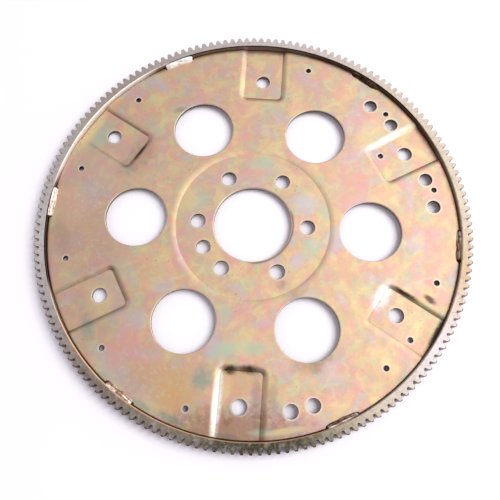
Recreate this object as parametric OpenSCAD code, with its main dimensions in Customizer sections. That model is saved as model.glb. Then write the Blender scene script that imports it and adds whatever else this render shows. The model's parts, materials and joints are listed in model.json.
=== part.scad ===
// Flexplate: a stamped steel disc with a welded starter ring gear.
// The ring's rear face lies on Z = 0, and the crankshaft axis is Z.

/* [Plate] */
// Thickness of the steel sheet
sheet_t = 3; // [2:0.1:4]
// Height of the plate's front face above the ring's rear face
plate_top = 6.5; // [6:0.1:8]
// Rounding of the plate's front rim, left by the blanking die
die_roll = 1.2; // [0.4:0.1:1.6]

/* [Hub] */
// Radius of the flat hub floor
hub_r = 64; // [58:0.5:66]
// Depth of the hub floor below the plate's front face
hub_depth = 0.7; // [0.5:0.1:3]
// Width of the bend round the hub floor
hub_bend_w = 5; // [4:0.5:6]
// Diameter of the pilot hole in the middle
pilot_d = 64.5; // [50:0.5:70]
// Rounding of the pilot hole's front edge
pilot_lip = 1; // [0.3:0.1:1.5]
// Bolt circle of the crankshaft bolts
crank_pcd = 90.932; // [86:0.001:100]
// Diameter of a crankshaft bolt hole
crank_hole_d = 12.2; // [8:0.1:13]
// Number of crankshaft bolts
crank_n = 6; // [6:2:8]
// Distance of the dowel hole from the axis
dowel_r = 45; // [43:0.1:50]
// Diameter of the dowel hole
dowel_d = 11.8; // [6:0.1:12.4]

/* [Windows] */
// Circle on which the windows lie
window_pcd = 194.8; // [190:0.1:198]
// Diameter of a window
window_d = 51; // [30:0.5:52]

/* [Converter pads] */
// Number of sunk pads, with one window and one weld bead between two pads
pad_n = 6; // [4:2:6]
// Width of a pad's flat floor
pad_w = 33; // [28:0.5:36]
// Distance of the pad floor's inner edge from the axis
pad_inner_r = 119.5; // [116:0.5:124]
// Depth of the pad floor below the plate's front face
pad_depth = 1.7; // [1:0.1:3.2]
// Width of the bend round the pad floor
pad_bend_w = 5; // [4:0.5:6]
// Corner radius of the pad floor
pad_corner_r = 3.5; // [2:0.5:6]
// Wide converter bolt circle
wide_pcd = 292.1; // [284:0.05:296]
// Narrow converter bolt circle
narrow_pcd = 273.05; // [266:0.05:282]
// Diameter of a converter bolt hole
converter_hole_d = 11.8; // [9:0.1:13]

/* [Small holes] */
// Diameter of a pin hole
pin_d = 4.4; // [3:0.1:5]
// Distance of the pin holes from the plate's rim
pin_inset = 14.9; // [12:0.1:17]
// Distance of the pad's own pin hole from the pad floor's inner edge
pad_pin_inset = 7; // [5:0.1:9]
// Diameter of a balance hole
balance_d = 10.9; // [8:0.1:11.4]
// Distance of the balance holes from the plate's rim
balance_inset = 18.6; // [16:0.1:20]

/* [Ring gear] */
// Number of teeth
tooth_n = 168; // [164:1:172]
// Teeth per inch of pitch diameter
diametral_pitch = 12; // [12:0.1:12.2]
// Pressure angle of the teeth
pressure_angle = 20; // [14.5:0.5:25]
// Tooth height outside the pitch circle
addendum = 1.6; // [1.2:0.1:2]
// Tooth depth inside the pitch circle
dedendum = 2.8; // [2.2:0.1:3]
// Backlash taken off each tooth's thickness
backlash = 0.2; // [0:0.05:0.4]
// Width of the ring along the axis
ring_h = 10.7; // [10:0.1:14]
// Thickness of the ring between its bore and the tooth roots
rim_t = 4.75; // [4:0.05:6]
// Chamfer of the bore's front edge
bore_chamfer = 1.3; // [0.5:0.1:1.6]
// Chamfer of the teeth's front and rear ends
tooth_chamfer = 0.8; // [0.3:0.1:1.5]
// Clearance between the plate's rim and the ring's bore
rim_gap = 0.05; // [0.02:0.01:0.1]

/* [Welds] */
// Angle of a weld bead's middle past the middle between two pads
weld_turn = -2.7; // [-6:0.1:6]
// Length of a weld bead
weld_len = 28; // [14:0.5:30]
// Leg of the weld's fillet
weld_leg = 3.8; // [3:0.1:4.8]
// Distance between two drops of the bead
drop_pitch = 3.2; // [2.4:0.1:4]
// How far a drop's middle lies beyond the corner
drop_sink = 2; // [1:0.1:3]
// Clearance between a weld bead and the ring's bore
weld_gap = 0.02; // [0.01:0.01:0.05]

/* [Hidden] */

inch = 25.4;
cut = 1;
$fn = 180;
drop_fn = 180;

// Gear radii, from the pitch outwards and inwards
tooth_pitch = 360 / tooth_n;
pitch_r = tooth_n / diametral_pitch * inch / 2;
tip_r = pitch_r + addendum;
root_r = pitch_r - dedendum;
base_r = pitch_r * cos(pressure_angle);
bore_r = root_r - rim_t;
plate_r = bore_r - rim_gap;
tooth_first = 1.41;
flank_steps = 3;
bend_steps = 4;

// Pads lie on the wide and the narrow bolt circle in turn, with a window between two pads
pad_step = 360 / pad_n;
pad_angles = [for (k = [0:pad_n - 1]) k * pad_step];
wide_angles = [for (k = [0:2:pad_n - 1]) k * pad_step];
narrow_angles = [for (k = [1:2:pad_n - 1]) k * pad_step];
window_angles = [for (a = pad_angles) a + pad_step / 2];
crank_angles = [for (k = [0:crank_n - 1]) (k + 0.5) * 360 / crank_n];
dowel_angle = 180;

// Pin holes lie on one circle, with two opposite places left out, and two more holes lie apart
pin_r = plate_r - pin_inset;
pin_places = 12;
pin_left_out = [3, 9];
pin_angles = [
    for (k = [0:pin_places - 1]) if (len(search(k, pin_left_out)) == 0) (k - 0.5) * 360 / pin_places
];
pad_pin_r = pad_inner_r + pad_pin_inset;
pad_pin_angle = 3.4;
rim_pin_angle = 296;

// Balance holes: two pairs beside the first pad and one pair near the fifth
balance_r = plate_r - balance_inset;
balance_angles = [-20.5, -11, 11, 20.5, 254.9, 261.5];

// Weld drops: their size, number and spacing, and the small change of size from drop to drop
drop_r = sqrt((weld_leg + drop_sink) ^ 2 + drop_sink ^ 2);
drop_n = max(2, round((weld_len - 2 * weld_leg) / drop_pitch) + 1);
drop_turn = drop_pitch / bore_r * 180 / PI;
drop_waver = 0.05;
drop_beat = 137;
weld_beat = 61;
function drop_size(i, k) = drop_r * (1 - drop_waver * abs(sin(drop_beat * i + weld_beat * k)));

// Radius of a bend that is level at its outer edge and drops by depth over its width
function bend_radius(w, depth) = (w * w + depth * depth) / (2 * depth);

// Angle that an involute has swept at radius r, in degrees
function involute(r) = let (a = acos(min(1, base_r / r))) tan(a) * 180 / PI - a;

// Half the tooth's thickness at radius r, in degrees
function half_tooth(r) =
    (90 / tooth_n) - backlash / pitch_r * 90 / PI + involute(pitch_r) - involute(r);

function polar(r, a) = [r * cos(a), r * sin(a)];

// The flank's radii from root to tip
function flank_r(i) = root_r + (tip_r - root_r) * i / flank_steps;

function tooth_points(middle) = concat(
    [for (i = [0:flank_steps]) polar(flank_r(i), middle - half_tooth(flank_r(i)))],
    [for (i = [flank_steps:-1:0]) polar(flank_r(i), middle + half_tooth(flank_r(i)))]
);

// Turns a shape to each of the angles, at radius r
module around(r, angles) {
    for (a = angles) rotate(a) translate([r, 0, 0]) children();
}

module hole(d) {
    translate([0, 0, -cut]) cylinder(d = d, h = plate_top + 2 * cut);
}

// Section of a sunk floor and the bend round it: the floor's edge lies at x, and y is from the front face.
// The pushed section is the metal behind it, and the other is the hollow in front of it.
// The bend's last chord runs on past the sheet's face, so that it crosses the face cleanly.
module bend_section(pushed, x, reach, w, depth) {
    radius = bend_radius(w, depth);
    face_y = pushed ? -sheet_t : 0;
    floor_y = face_y - depth;
    arc_r = radius + face_y;
    turn = acos(max(0, (radius + floor_y) / arc_r));
    turns = [for (i = [0:bend_steps - 1]) turn * (1 - i / bend_steps)];
    arc = [for (a = turns) [x + w - arc_r * sin(a), arc_r * cos(a) - radius]];
    last = arc[bend_steps - 1];
    past = [2 * (x + w) - last.x, 2 * face_y - last.y];
    polygon(concat(
        [[x - reach, floor_y]],
        turn < 90 ? [] : [[x + w - arc_r, floor_y]],
        arc,
        [past],
        pushed ? [[x - reach, -sheet_t / 2]] : [[past.x, cut], [x - reach, cut]]
    ));
}

module hub_form(pushed) {
    translate([0, 0, plate_top]) rotate_extrude()
        bend_section(pushed, hub_r, hub_r, hub_bend_w, hub_depth);
}

// The section runs along a pad's two sides, across its inner end and round its inner corners
module pad_form(pushed) {
    side_y = pad_w / 2 - pad_corner_r;
    start_x = pad_inner_r + pad_corner_r;
    translate([0, 0, plate_top]) {
        for (s = [0, 1]) mirror([0, s, 0]) {
            translate([start_x, pad_w / 2, 0]) rotate([90, 0, 90]) linear_extrude(plate_r + cut - start_x)
                bend_section(pushed, 0, pad_w / 2, pad_bend_w, pad_depth);
            translate([start_x, side_y, 0]) rotate(90) rotate_extrude(angle = 90)
                bend_section(pushed, pad_corner_r, pad_corner_r, pad_bend_w, pad_depth);
        }
        translate([pad_inner_r, side_y, 0]) rotate([90, 0, 0]) linear_extrude(2 * side_y) mirror([1, 0])
            bend_section(pushed, 0, pad_corner_r, pad_bend_w, pad_depth);
    }
}

// A ring that rounds an edge of radius r: inwards for a rim, outwards for a hole's lip
module edge_round(r, z, lip, inwards) {
    way = inwards ? -1 : 1;
    translate([0, 0, z - lip]) rotate_extrude() translate([r + way * lip, 0]) difference() {
        translate([inwards ? 0 : -lip - cut, 0]) square(lip + cut);
        circle(r = lip);
    }
}

module sheet() {
    difference() {
        intersection() {
            union() {
                translate([0, 0, plate_top - sheet_t]) cylinder(r = plate_r + 2 * cut, h = sheet_t);
                hub_form(true);
                around(0, pad_angles) pad_form(true);
            }
            translate([0, 0, -plate_top]) cylinder(r = plate_r, h = 3 * plate_top);
        }
        hub_form(false);
        around(0, pad_angles) pad_form(false);
        edge_round(plate_r, plate_top, die_roll, true);
    }
}

module plate() {
    color("BurlyWood") difference() {
        sheet();
        hole(pilot_d);
        edge_round(pilot_d / 2, plate_top - hub_depth, pilot_lip, false);
        around(crank_pcd / 2, crank_angles) hole(crank_hole_d);
        around(dowel_r, [dowel_angle]) hole(dowel_d);
        around(window_pcd / 2, window_angles) hole(window_d);
        around(wide_pcd / 2, wide_angles) hole(converter_hole_d);
        around(narrow_pcd / 2, narrow_angles) hole(converter_hole_d);
        around(pin_r, pin_angles) hole(pin_d);
        around(pad_pin_r, [pad_pin_angle]) hole(pin_d);
        around(pin_r, [rim_pin_angle]) hole(pin_d);
        around(balance_r, balance_angles) hole(balance_d);
    }
}

// Section of the ring: its bore with a chamfered front edge, and slopes that cut the tooth ends back
module ring_section() {
    polygon([
        [bore_r, 0],
        [tip_r - tooth_chamfer, 0],
        [tip_r + cut, tooth_chamfer + cut],
        [tip_r + cut, ring_h - tooth_chamfer - cut],
        [tip_r - tooth_chamfer, ring_h],
        [bore_r + bore_chamfer, ring_h],
        [bore_r, ring_h - bore_chamfer]
    ]);
}

module ring_gear() {
    color("Tan") intersection() {
        translate([0, 0, -cut]) linear_extrude(ring_h + 2 * cut)
            polygon([for (k = [0:tooth_n - 1]) each tooth_points(tooth_first + k * tooth_pitch)]);
        rotate_extrude() ring_section();
    }
}

// Section of the corner that a weld may fill, between the plate's face and the ring's bore
module corner_section() {
    wall_r = bore_r - weld_gap;
    polygon([
        [wall_r - weld_leg - drop_sink, plate_top],
        [wall_r, plate_top],
        [wall_r, ring_h - bore_chamfer],
        [wall_r + bore_chamfer, ring_h],
        [wall_r - weld_leg - drop_sink, ring_h]
    ]);
}

// One bead: a row of drops in the corner, trimmed to the plate's face and to the ring
module weld_bead(k) {
    middle = (k - 0.5) * pad_step + weld_turn;
    color("Peru") intersection() {
        for (i = [0:drop_n - 1]) rotate(middle + (i - (drop_n - 1) / 2) * drop_turn)
            translate([bore_r + drop_sink, 0, plate_top - drop_sink])
                sphere(r = drop_size(i, k), $fn = drop_fn);
        rotate_extrude() corner_section();
    }
}

plate();
ring_gear();
for (k = [1:pad_n]) weld_bead(k);
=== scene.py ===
"""Flexplate: a stamped, yellow zinc plated disc with a welded starter ring gear, dressed round its solids."""

import json
import math

import bpy
import numpy as np
from bpy.props import FloatProperty, FloatVectorProperty, IntProperty, PointerProperty
from mathutils import Matrix, Vector, kdtree, noise
from mathutils.geometry import delaunay_2d_cdt


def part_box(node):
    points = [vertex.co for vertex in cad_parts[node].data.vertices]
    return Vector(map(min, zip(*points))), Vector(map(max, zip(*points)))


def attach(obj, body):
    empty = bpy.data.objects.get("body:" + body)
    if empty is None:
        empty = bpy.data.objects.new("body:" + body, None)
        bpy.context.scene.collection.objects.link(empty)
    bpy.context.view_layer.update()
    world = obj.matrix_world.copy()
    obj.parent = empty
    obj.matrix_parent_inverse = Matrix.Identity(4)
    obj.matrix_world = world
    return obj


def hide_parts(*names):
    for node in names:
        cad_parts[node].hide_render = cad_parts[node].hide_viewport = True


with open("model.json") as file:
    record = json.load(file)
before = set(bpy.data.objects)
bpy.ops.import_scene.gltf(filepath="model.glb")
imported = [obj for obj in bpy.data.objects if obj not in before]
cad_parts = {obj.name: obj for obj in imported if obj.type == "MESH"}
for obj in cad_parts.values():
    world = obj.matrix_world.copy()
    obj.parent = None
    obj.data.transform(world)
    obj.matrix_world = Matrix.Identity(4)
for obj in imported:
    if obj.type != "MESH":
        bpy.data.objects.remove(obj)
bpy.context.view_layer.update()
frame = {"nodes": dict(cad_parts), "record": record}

bl_info = {
    "name": "Flexplate",
    "version": (1, 0, 0),
    "blender": (4, 5, 0),
    "location": "View3D > Sidebar > Flexplate",
    "description": "A zinc plated flexplate with a welded starter ring gear",
    "category": "Add Mesh",
}

# Millimetres to Blender's metres
MM = 0.001

# Sizes that the frame states
MOUNTS = {mount["name"]: mount for mount in frame["record"]["mounts"]}
PILOT_RADIUS = MOUNTS["pilot_bore"]["dims"]["r_mm"] * MM
PLATE_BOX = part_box("plate")
RING_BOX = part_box("ring_gear")
WELD_NODES = sorted(name for name in frame["nodes"] if name.startswith("weld_bead_"))

# Places round the axis in degrees. Pads and holes repeat every sixth of a turn.
SECTOR = 60
PAD_ANGLES = [SECTOR * k for k in range(6)]
WINDOW_ANGLES = [SECTOR * (k + 0.5) for k in range(6)]
PIN_STEP = 30
PIN_ANGLES = [PIN_STEP * (k - 0.5) for k in range(12) if k not in (3, 9)]
BALANCE_ANGLES = [-20.5, -11, 11, 20.5, 254.9, 261.5]
DOWEL_ANGLE = 180
RIM_PIN_ANGLE = 296
WELD_FIRST = 27.3

# The pin hole on a pad, as its distance from the axis in mm and its angle
PAD_PIN = (126.5, 3.4)

# Rows of mesh points beside the sheet's edges, as distances in mm
RIM_ROWS = (0.5, 1.3)
HOLE_ROWS = (0.35, 0.9, 1.8, 3.2)
HUB_ROWS = (-5, -2.5, -1, -0.25, 0.25, 0.8, 1.4, 2.2, 3.1, 4.1, 5, 5.8, 7.4)
PAD_ROWS = (-3.2, -1.2, -0.25, 0.25, 0.7, 1.2, 1.8, 2.28, 2.5, 3.1, 3.8, 4.4, 5, 5.7, 7)

# How far the rows stay from the holes and the rim, in mm
CLEAR_HOLE = 0.3
CLEAR_HUB = 0.6
CLEAR_PAD = 0.3
CLEAR_PAD_ROW = 0.5
CLEAR_SHEET = 1.5

# Rows of a hole's wall: their angles round the lip in degrees, and how far each row belongs to the bore,
# whose dark coat is painted shade; the rest takes the lip's pale coat, edge wear and a painted highlight
LIP_ROWS = (22.5, 45, 67.5, 90)
BORE_ROWS = (0, 0, 0, 0.8, 1, 1)

# Mesh points round the rim and the hub, and their spacing along a pad in mm
RIM_POINTS = 960
HUB_POINTS = 240
PAD_STEP = 2

# Staggered rows on the flat sheet: their spacing and the room round each point, as shares of the mesh step
ROW_SHARE = 0.866
ROOM_SHARE = 0.45

# How brown each bead's scale is, from 0 for bright zinc to 1
WELD_SCALE = [0.86, 0.1, 0.3, 0.46, 0.52, 0.58]

# Clouds in the plate's film as size in mm, place, detail, roughness and distortion. Each has its coats, as
# the values between which a coat fades in, its strength and its tone. The sheet's grain, in the last row, is
# finer in truth and is drawn as coarse as it needs to show.
FILM = [
    (34, 41, 2.6, 0.5, 0.9, [(0.44, 0.66, 0.6, "gold"), (0.5, 0.32, 0.35, "mauve")]),
    (17, 230, 2.6, 0.5, 0.9, [(0.44, 0.72, 0.68, "pink"), (0.54, 0.28, 0.58, "green")]),
    (22, 470, 2.6, 0.5, 0.9, [(0.44, 0.74, 0.6, "straw"), (0.52, 0.28, 0.55, "lavender")]),
    (9, 300, 2.6, 0.5, 0.9, [(0.46, 0.7, 0.42, "pink"), (0.54, 0.3, 0.4, "straw")]),
    (1.6, 5, 3, 0.6, 0, [(0.35, 0.75, 0.07, "stain_and_shade_umber")]),
]

# Clouds in the ring's zinc, in the same way. The sandy grain, in the second row, is also drawn coarser.
RING_FILM = [
    (9, 60, 3, 0.6, 0.3, [(0.5, 0.75, 0.35, "pale_zinc"), (0.5, 0.25, 0.5, "zinc_tan")]),
    (1.1, 8, 2, 0.6, 0, [(0.45, 0.8, 0.32, "scale")]),
    (3.2, 90, 3, 0.65, 0, [(0.5, 0.72, 0.28, "scale"), (0.5, 0.3, 0.26, "pale_zinc")]),
]

# Other clouds as size in mm, place, detail, roughness and distortion. An edge is the values between which a
# pattern rises.

# Dark pits, and the wider patches that they keep to
PITS = (2.2, 510, 1, 0.5, 0)
PIT_EDGE = (0.71, 0.77)
PIT_PATCHES = (40, 620, 1, 0.5, 0)
PIT_PATCH_EDGE = (0.5, 0.6)
PIT_STRENGTH = 0.45

# Ragged rims of the stains
STAIN_RIM = (4.5, 77, 3, 0.6, 0.4)
STAIN_EDGE = (0.02, 0.4)

# Frost, and how far inside its outline a frosted place has its full strength
FROST_GRAIN = (3.4, 133, 4, 0.65, 0)
FROST_EDGE = (0.52, 0.68)
FROST_RISE = 0.5

# Satin of the plate, and the roughness at the ends of its clouds
SATIN = (9, 19, 4, 0.6, 0)
SATIN_EDGE = (0.3, 0.7)
SATIN_ROUGHNESS = (0.34, 0.44)

# Clouds on the weld beads, and how much they change the scale
BEAD_CLOUDS = (4, 12, 3, 0.6, 0.4)
BEAD_SPREAD = 0.9

# A cloud's place along y as a share of that along x, and a stain's depth in metres, right through the sheet
CLOUD_SLANT = 0.37
OVAL_DEPTH = 1000

# Coats that the mesh's points call for, as the points' value, tone and strength
# On the sheet: painted shade in the pads' corners and along the pilot hole's edge, bare zinc round the holes,
# pale zinc on the holes' rounded edges as edge wear and a painted highlight, and painted shade on the walls
# of the holes and the rim
SHEET_EDGES = [
    ("shade_line", "stain_and_shade_umber", 1), ("halo", "zinc_and_highlight_white", 0.5), ("lip", "pale_zinc", 0.5), ("bore", "hollow_shade", 0.95),
]
# On the ring: gold film with a painted highlight on the chamfer, painted shade on bore and chamfer, brown
# scale on the cut flanks, painted shade at the teeth's roots, brown scale and painted shade in the bore, and
# a painted highlight on the lit stretch of bore
RING_EDGES = [
    ("gilt_and_highlight", "gilt_and_highlight", 1), ("shade", "chamfer_shade", 1), ("cut", "scale", 0.85), ("root", "hollow_shade", 1),
    ("bore", "scale", 1), ("bright", "zinc_and_highlight_white", 1),
]

# Stains and patches of film on the plate, and some painted shade and painted highlights on pad walls, by the
# rim and along the lower edge, each said where it stands, as x, y, half length and half width in mm, angle,
# strength and tone
STAINS = [
    (-67.5, -98.8, 9, 6, -29, 0.95, "stain_and_shade_umber"),
    (-54.5, -104.8, 11, 5.6, -30, 0.95, "stain_and_shade_umber"),
    (-46.3, -129.7, 19, 6.5, 64, 0.45, "smoke"),
    (-57.8, -124.1, 34, 6.5, 64, 0.5, "smoke"),
    (98, -119, 8.5, 3.8, -66, 0.8, "stain_and_shade_umber"),
    # Painted shade along the upper wall of the pad at the picture's lower right
    (83.3, -106.5, 18, 2.6, -59, 0.95, "stain_and_shade_umber"),
    (93, -122.5, 18, 2.8, -59, 0.5, "straw"),
    # Painted shade on the inner end wall of the pad at the picture's upper left
    (-58.8, 101.8, 17, 2.4, 30, 0.95, "stain_and_shade_umber"),
    (-2.5, -56.6, 8, 5, 20, 0.45, "smoke"),
    (4.2, -69.8, 16, 5, 10, 0.45, "smoke"),
    (31.4, 46.1, 18, 9, -20, 0.7, "green"),
    (47.3, -4.7, 13, 11, 60, 0.8, "lavender"),
    (59.3, -17.6, 12, 8, 80, 0.6, "green"),
    (19.3, -44.2, 12, 9, 10, 0.7, "lavender"),
    (33, -40, 16, 10, 40, 0.5, "green"),
    (-30.5, 38.5, 18, 10, 50, 0.6, "green"),
    (-50.7, 13.9, 14, 9, 80, 0.5, "mauve"),
    (-16.7, -116.9, 17, 9, 20, 0.45, "smoke"),
    (2, -121.6, 13, 6, -40, 0.5, "smoke"),
    (-84.7, -131.7, 6, 4, 30, 0.4, "stain_and_shade_umber"),
    (-11, 124.5, 9, 4, -10, 0.45, "smoke"),
    (38.4, 78, 4, 3.4, 0, 0.5, "pink"),
    (-112.7, 81.9, 24, 15, 40, 0.55, "lavender"),
    (-18.5, 159, 20, 10, -60, 0.6, "lavender"),
    # Painted highlight on the inner end of the pad at the picture's lower right
    (66.5, -99.5, 19, 9, 30, 0.9, "zinc_and_highlight_white"),
    (-148, -55, 34, 13, -70, 0.4, "lavender"),
    (-146, 60, 26, 11, 80, 0.35, "smoke"),
    (-107.9, -95.6, 34, 22, 20, 0.65, "ochre"),
    (-137.6, -47.9, 26, 18, 60, 0.6, "pink"),
    (-139, -91.8, 14, 4, -56, 0.6, "teal"),
    (-122, -112, 17, 5, -48, 0.75, "teal"),
    (-92, -140, 17, 3, -33, 0.65, "teal"),
    (-52, -158, 16, 3, -18, 0.6, "teal"),
    (-53, -58.8, 16, 9, 70, 0.6, "green"),
    (-73.6, -79.1, 14, 8, 40, 0.6, "lavender"),
    (-46.5, -90.6, 22, 9, -26, 0.65, "green"),
    (-50.8, -81.6, 20, 12, 0, 0.4, "straw"),
    (54.3, -42.4, 20, 12, 50, 0.55, "lavender"),
    (48, -3, 22, 14, -20, 0.5, "pale_zinc"),
    (85.5, -28.5, 24, 16, 30, 0.45, "lavender"),
    (-38, 46, 24, 14, 60, 0.5, "straw"),
    (125, 30, 26, 14, 30, 0.5, "straw"),
    (119.4, -83.8, 30, 18, 60, 0.25, "pink"),
    (-65.5, -112.2, 20, 13, 64, 0.55, "ochre"),
    (-125, 50, 60, 45, 70, 0.6, "fawn"),
    (-95, 105, 60, 40, -40, 0.4, "mauve"),
    (-140, -8, 45, 28, 80, 0.5, "fawn"),
    (-90, 138, 32, 7, 33, 0.9, "straw"),
    (-83, 133, 26, 9, 33, 0.7, "green"),
    (-128, 85, 30, 24, 60, 0.5, "peach"),
    (-133, -76, 30, 20, -60, 0.6, "mauve"),
    (-124, -64, 18, 10, -30, 0.5, "pink"),
    # Painted shade: the plate darkens towards the picture's lower edge
    (-81, -139.5, 84, 25, -26, 0.62, "lower_edge_shade"),
    # Painted highlight on the left wall of the pad at the picture's bottom
    (-87.4, -117, 42, 5.4, 58.6, 1, "zinc_and_highlight_white"),
    # Painted highlight along the upper wall of the pad at the picture's upper right
    (140, 19.2, 36, 5, 4, 0.75, "zinc_and_highlight_white"),
    (90, -5, 45, 28, 60, 0.4, "pink"),
    (147.4, -53.9, 26, 14, 70, 0.35, "pink"),
    (-67, -83.5, 15, 9, 0, 0.8, "green"),
    (-89, -95, 15, 12, 50, 0.75, "teal"),
    (-120, -78, 32, 16, -35, 0.6, "ochre"),
    (-116, -98, 26, 12, -40, 0.5, "ochre"),
    (-116, -32.4, 13, 10, 60, 0.6, "lavender"),
    (-87.6, -15.9, 14, 10, 0, 0.55, "lavender"),
    (-137, -2, 24, 16, 90, 0.45, "straw"),
    (-154, -20, 16, 7, 80, 0.6, "teal"),
    (-50, -157, 26, 4, -17, 0.6, "straw"),
    (-66, -150, 14, 4, -23, 0.5, "green"),
    (-7.5, -123.9, 13, 10, 30, 0.4, "stain_and_shade_umber"),
    # Painted shade by the rim at the outer end of the pad at the picture's lower right
    (88.9, -144.1, 26, 3.8, 31, 0.95, "stain_and_shade_umber"),
    (-61, 99, 34, 17, 30, 0.24, "stain_and_shade_umber"),
]

# Frosted places on the plate as x, y, half length and half width in mm, angle and strength
FROST = [
    (-133, -72, 52, 26, -42, 0.6),
    (-112.7, 81.9, 30, 22, 40, 0.85),
    (-130, 35, 36, 20, 80, 0.45),
    (-18.5, 159, 24, 12, -60, 0.4),
]

# The camera's sensor width in mm, and the distance in metres from which it sees
SENSOR = 36
CLIP_START = 0.01

# Light of the room that the metal mirrors, as the cosine of the angle from its bright side and its light
ROOM = [
    (-1, 0.68), (-0.75, 0.66), (-0.45, 0.7), (-0.2, 0.93), (0, 1.2), (0.3, 1.93), (0.6, 1.65), (1, 0.95),
]

# Cosines between which the room's light changes towards its dim, far and near sides and its window
DIM_EDGE = (0.08, 0.4)
FAR_EDGE = (0.64, 0.9)
NEAR_EDGE = (-0.14, 0.1)
WINDOW_EDGE = (0.86, 0.97)

# Tones round the ring gear by angle in the picture, in degrees
RING_TONES = [
    (0, "zinc_cream"), (35, "zinc_tan"), (90, "zinc_rose"), (135, "zinc_brown"), (185, "zinc_grey"),
    (225, "zinc_moss"), (250, "zinc_moss"), (263, "olive"), (281, "olive"), (302, "zinc_tan"),
    (325, "zinc_grey"), (346, "zinc_sand"), (360, "zinc_cream"),
]

# Painted shade: a dark line on part of the pilot hole's edge, where its lip lies in shadow: its angles, fade
# in degrees, strength and half width in mm
PILOT_SHADE_LINE = (-125, 0)
PILOT_LINE_FADE = 12
PILOT_LINE_STRENGTH = 0.7
PILOT_LINE_WIDTH = 1.1

# Painted shade: a dark line in the corner of each pad: its strength pad by pad and its half width in mm
PAD_SHADE_LINE = [0, 0, 0.07, 0.35, 0.35, 0.35]
CREASE_WIDTH = 0.3

# Width of the bare zinc round a hole, in mm
HALO_WIDTH = 1.6

# Parts of the ring's bore and its chamfer that stand out, by angle in the picture, and the fade at their
# ends. In order below: a painted highlight on the lit stretch of bore, painted shade on bore and chamfer, a
# painted shadow line along the chamfer, more painted shade on a shadowed stretch of bore, and gold film with
# a painted highlight along the chamfer
BORE_FADE = 6
BORE_BRIGHT = (120, 168)
BORE_SHADE = (166, 202)
BORE_SHADOW_LINE = (28, 118)
BORE_SHADOWED = (20, 75)
BORE_GILT_HIGHLIGHT = (204, 300)

# Brown scale and painted shade that dull the ring's bore away from its lit stretch, and the painted shade
# that its shadowed stretch adds
BORE_SCALE_AND_SHADE = 0.62
BORE_SHADOW_EXTRA = 0.25

# Painted shade at the teeth's roots, where the gaps lie in shadow: how far it reaches up from the root and
# over what height it fades, in mm
ROOT_SHADE_TOP = 2.2
ROOT_SHADE_FADE = 1.2


def linear(hex_colour):
    """An sRGB hex colour as linear red, green and blue."""
    parts = [int(hex_colour[i:i + 2], 16) / 255 for i in (1, 3, 5)]
    return tuple(c / 12.92 if c <= 0.04045 else ((c + 0.055) / 1.055) ** 2.4 for c in parts)


def length(name, description, mm):
    """A length that a user can change, given in mm."""
    return FloatProperty(name=name, description=description, default=mm * MM, unit="LENGTH", precision=5)


def degrees(name, description, turn):
    """An angle that a user can change, given in degrees."""
    return FloatProperty(name=name, description=description, default=math.radians(turn), subtype="ANGLE")


def amount(name, description, value, unit="NONE"):
    """A number that a user can change."""
    return FloatProperty(name=name, description=description, default=value, unit=unit)


def colour(name, description, hex_colour):
    """A colour that a user can change, given as sRGB hex."""
    return FloatVectorProperty(
        name=name, description=description, default=linear(hex_colour), subtype="COLOR", min=0, max=1)


class PlateSettings(bpy.types.PropertyGroup):
    """Sizes of the stamped plate"""
    rim_radius: length("Rim radius", "Outer radius of the plate, inside the ring's bore", 170.2)
    front_z: length("Front face", "Height of the front face", PLATE_BOX[1].z / MM)
    sheet: length("Sheet", "Thickness of the steel sheet", 3)
    die_roll: length("Die roll", "Rounding of the rim's front edge", 0.8)
    hub_radius: length("Hub radius", "Radius of the sunk hub floor", 64)
    hub_depth: length("Hub depth", "Depth of the hub floor below the front face", 0.7)
    hub_bend: length("Hub bend", "Width of the bend round the hub floor", 5)
    pad_width: length("Pad width", "Width of a converter pad's floor", 33)
    pad_inner: length("Pad start", "Distance of a pad floor's inner edge from the axis", 119.5)
    pad_depth: length("Pad depth", "Depth of a pad floor below the front face", 1.7)
    pad_bend: length("Pad bend", "Width of the bend round a pad floor", 5)
    pad_corner: length("Pad corner", "Corner radius of a pad floor", 3.5)
    window_circle: length("Window circle", "Distance of the windows from the axis", 97.4)
    window_radius: length("Window radius", "Radius of a round window", 25.5)
    pin_circle: length("Pin circle", "Distance of the pin holes from the axis", 155.3)
    pin_radius: length("Pin radius", "Radius of a pin hole", 2.2)
    balance_circle: length("Balance circle", "Distance of the balance holes from the axis", 151.6)
    balance_radius: length("Balance radius", "Radius of a drilled balance hole", 5.45)
    pilot_lip: length("Pilot lip", "Rounding of the pilot hole's front edge", 1)
    window_lip: length("Window lip", "Rounding that the punch left round a window", 0.7)
    hole_lip: length("Hole lip", "Rounding of the small holes' front edges", 0.35)
    back_lip: length("Back lip", "Edge break of every hole on the back", 0.25)
    mesh_step: length("Mesh step", "Spacing of mesh points on the flat sheet", 5)


class RingSettings(bpy.types.PropertyGroup):
    """Sizes of the starter ring gear"""
    teeth: IntProperty(name="Teeth", description="Number of teeth", default=168)
    tooth_first: degrees("First tooth", "Angle of the first tooth", 1.41)
    tip_radius: length("Tip radius", "Radius over the tooth tips", 179.4)
    pitch_radius: length("Pitch radius", "Radius of the pitch circle", 177.8)
    root_radius: length("Root radius", "Radius at the tooth roots", 175)
    bore_radius: length("Bore radius", "Radius of the ring's bore", 170.25)
    height: length("Height", "Width of the ring along the axis", RING_BOX[1].z / MM)
    bore_chamfer: length("Bore chamfer", "Chamfer of the bore's front edge", 0.7)
    tooth_chamfer: length("Tooth chamfer", "Chamfer of the tooth ends", 0.8)
    edge_break: length("Edge break", "Small bevel of the cut edges", 0.14)
    pressure_angle: degrees("Pressure angle", "Pressure angle of the teeth", 20)
    backlash: length("Backlash", "Taken off each tooth's thickness", 0.2)


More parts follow.
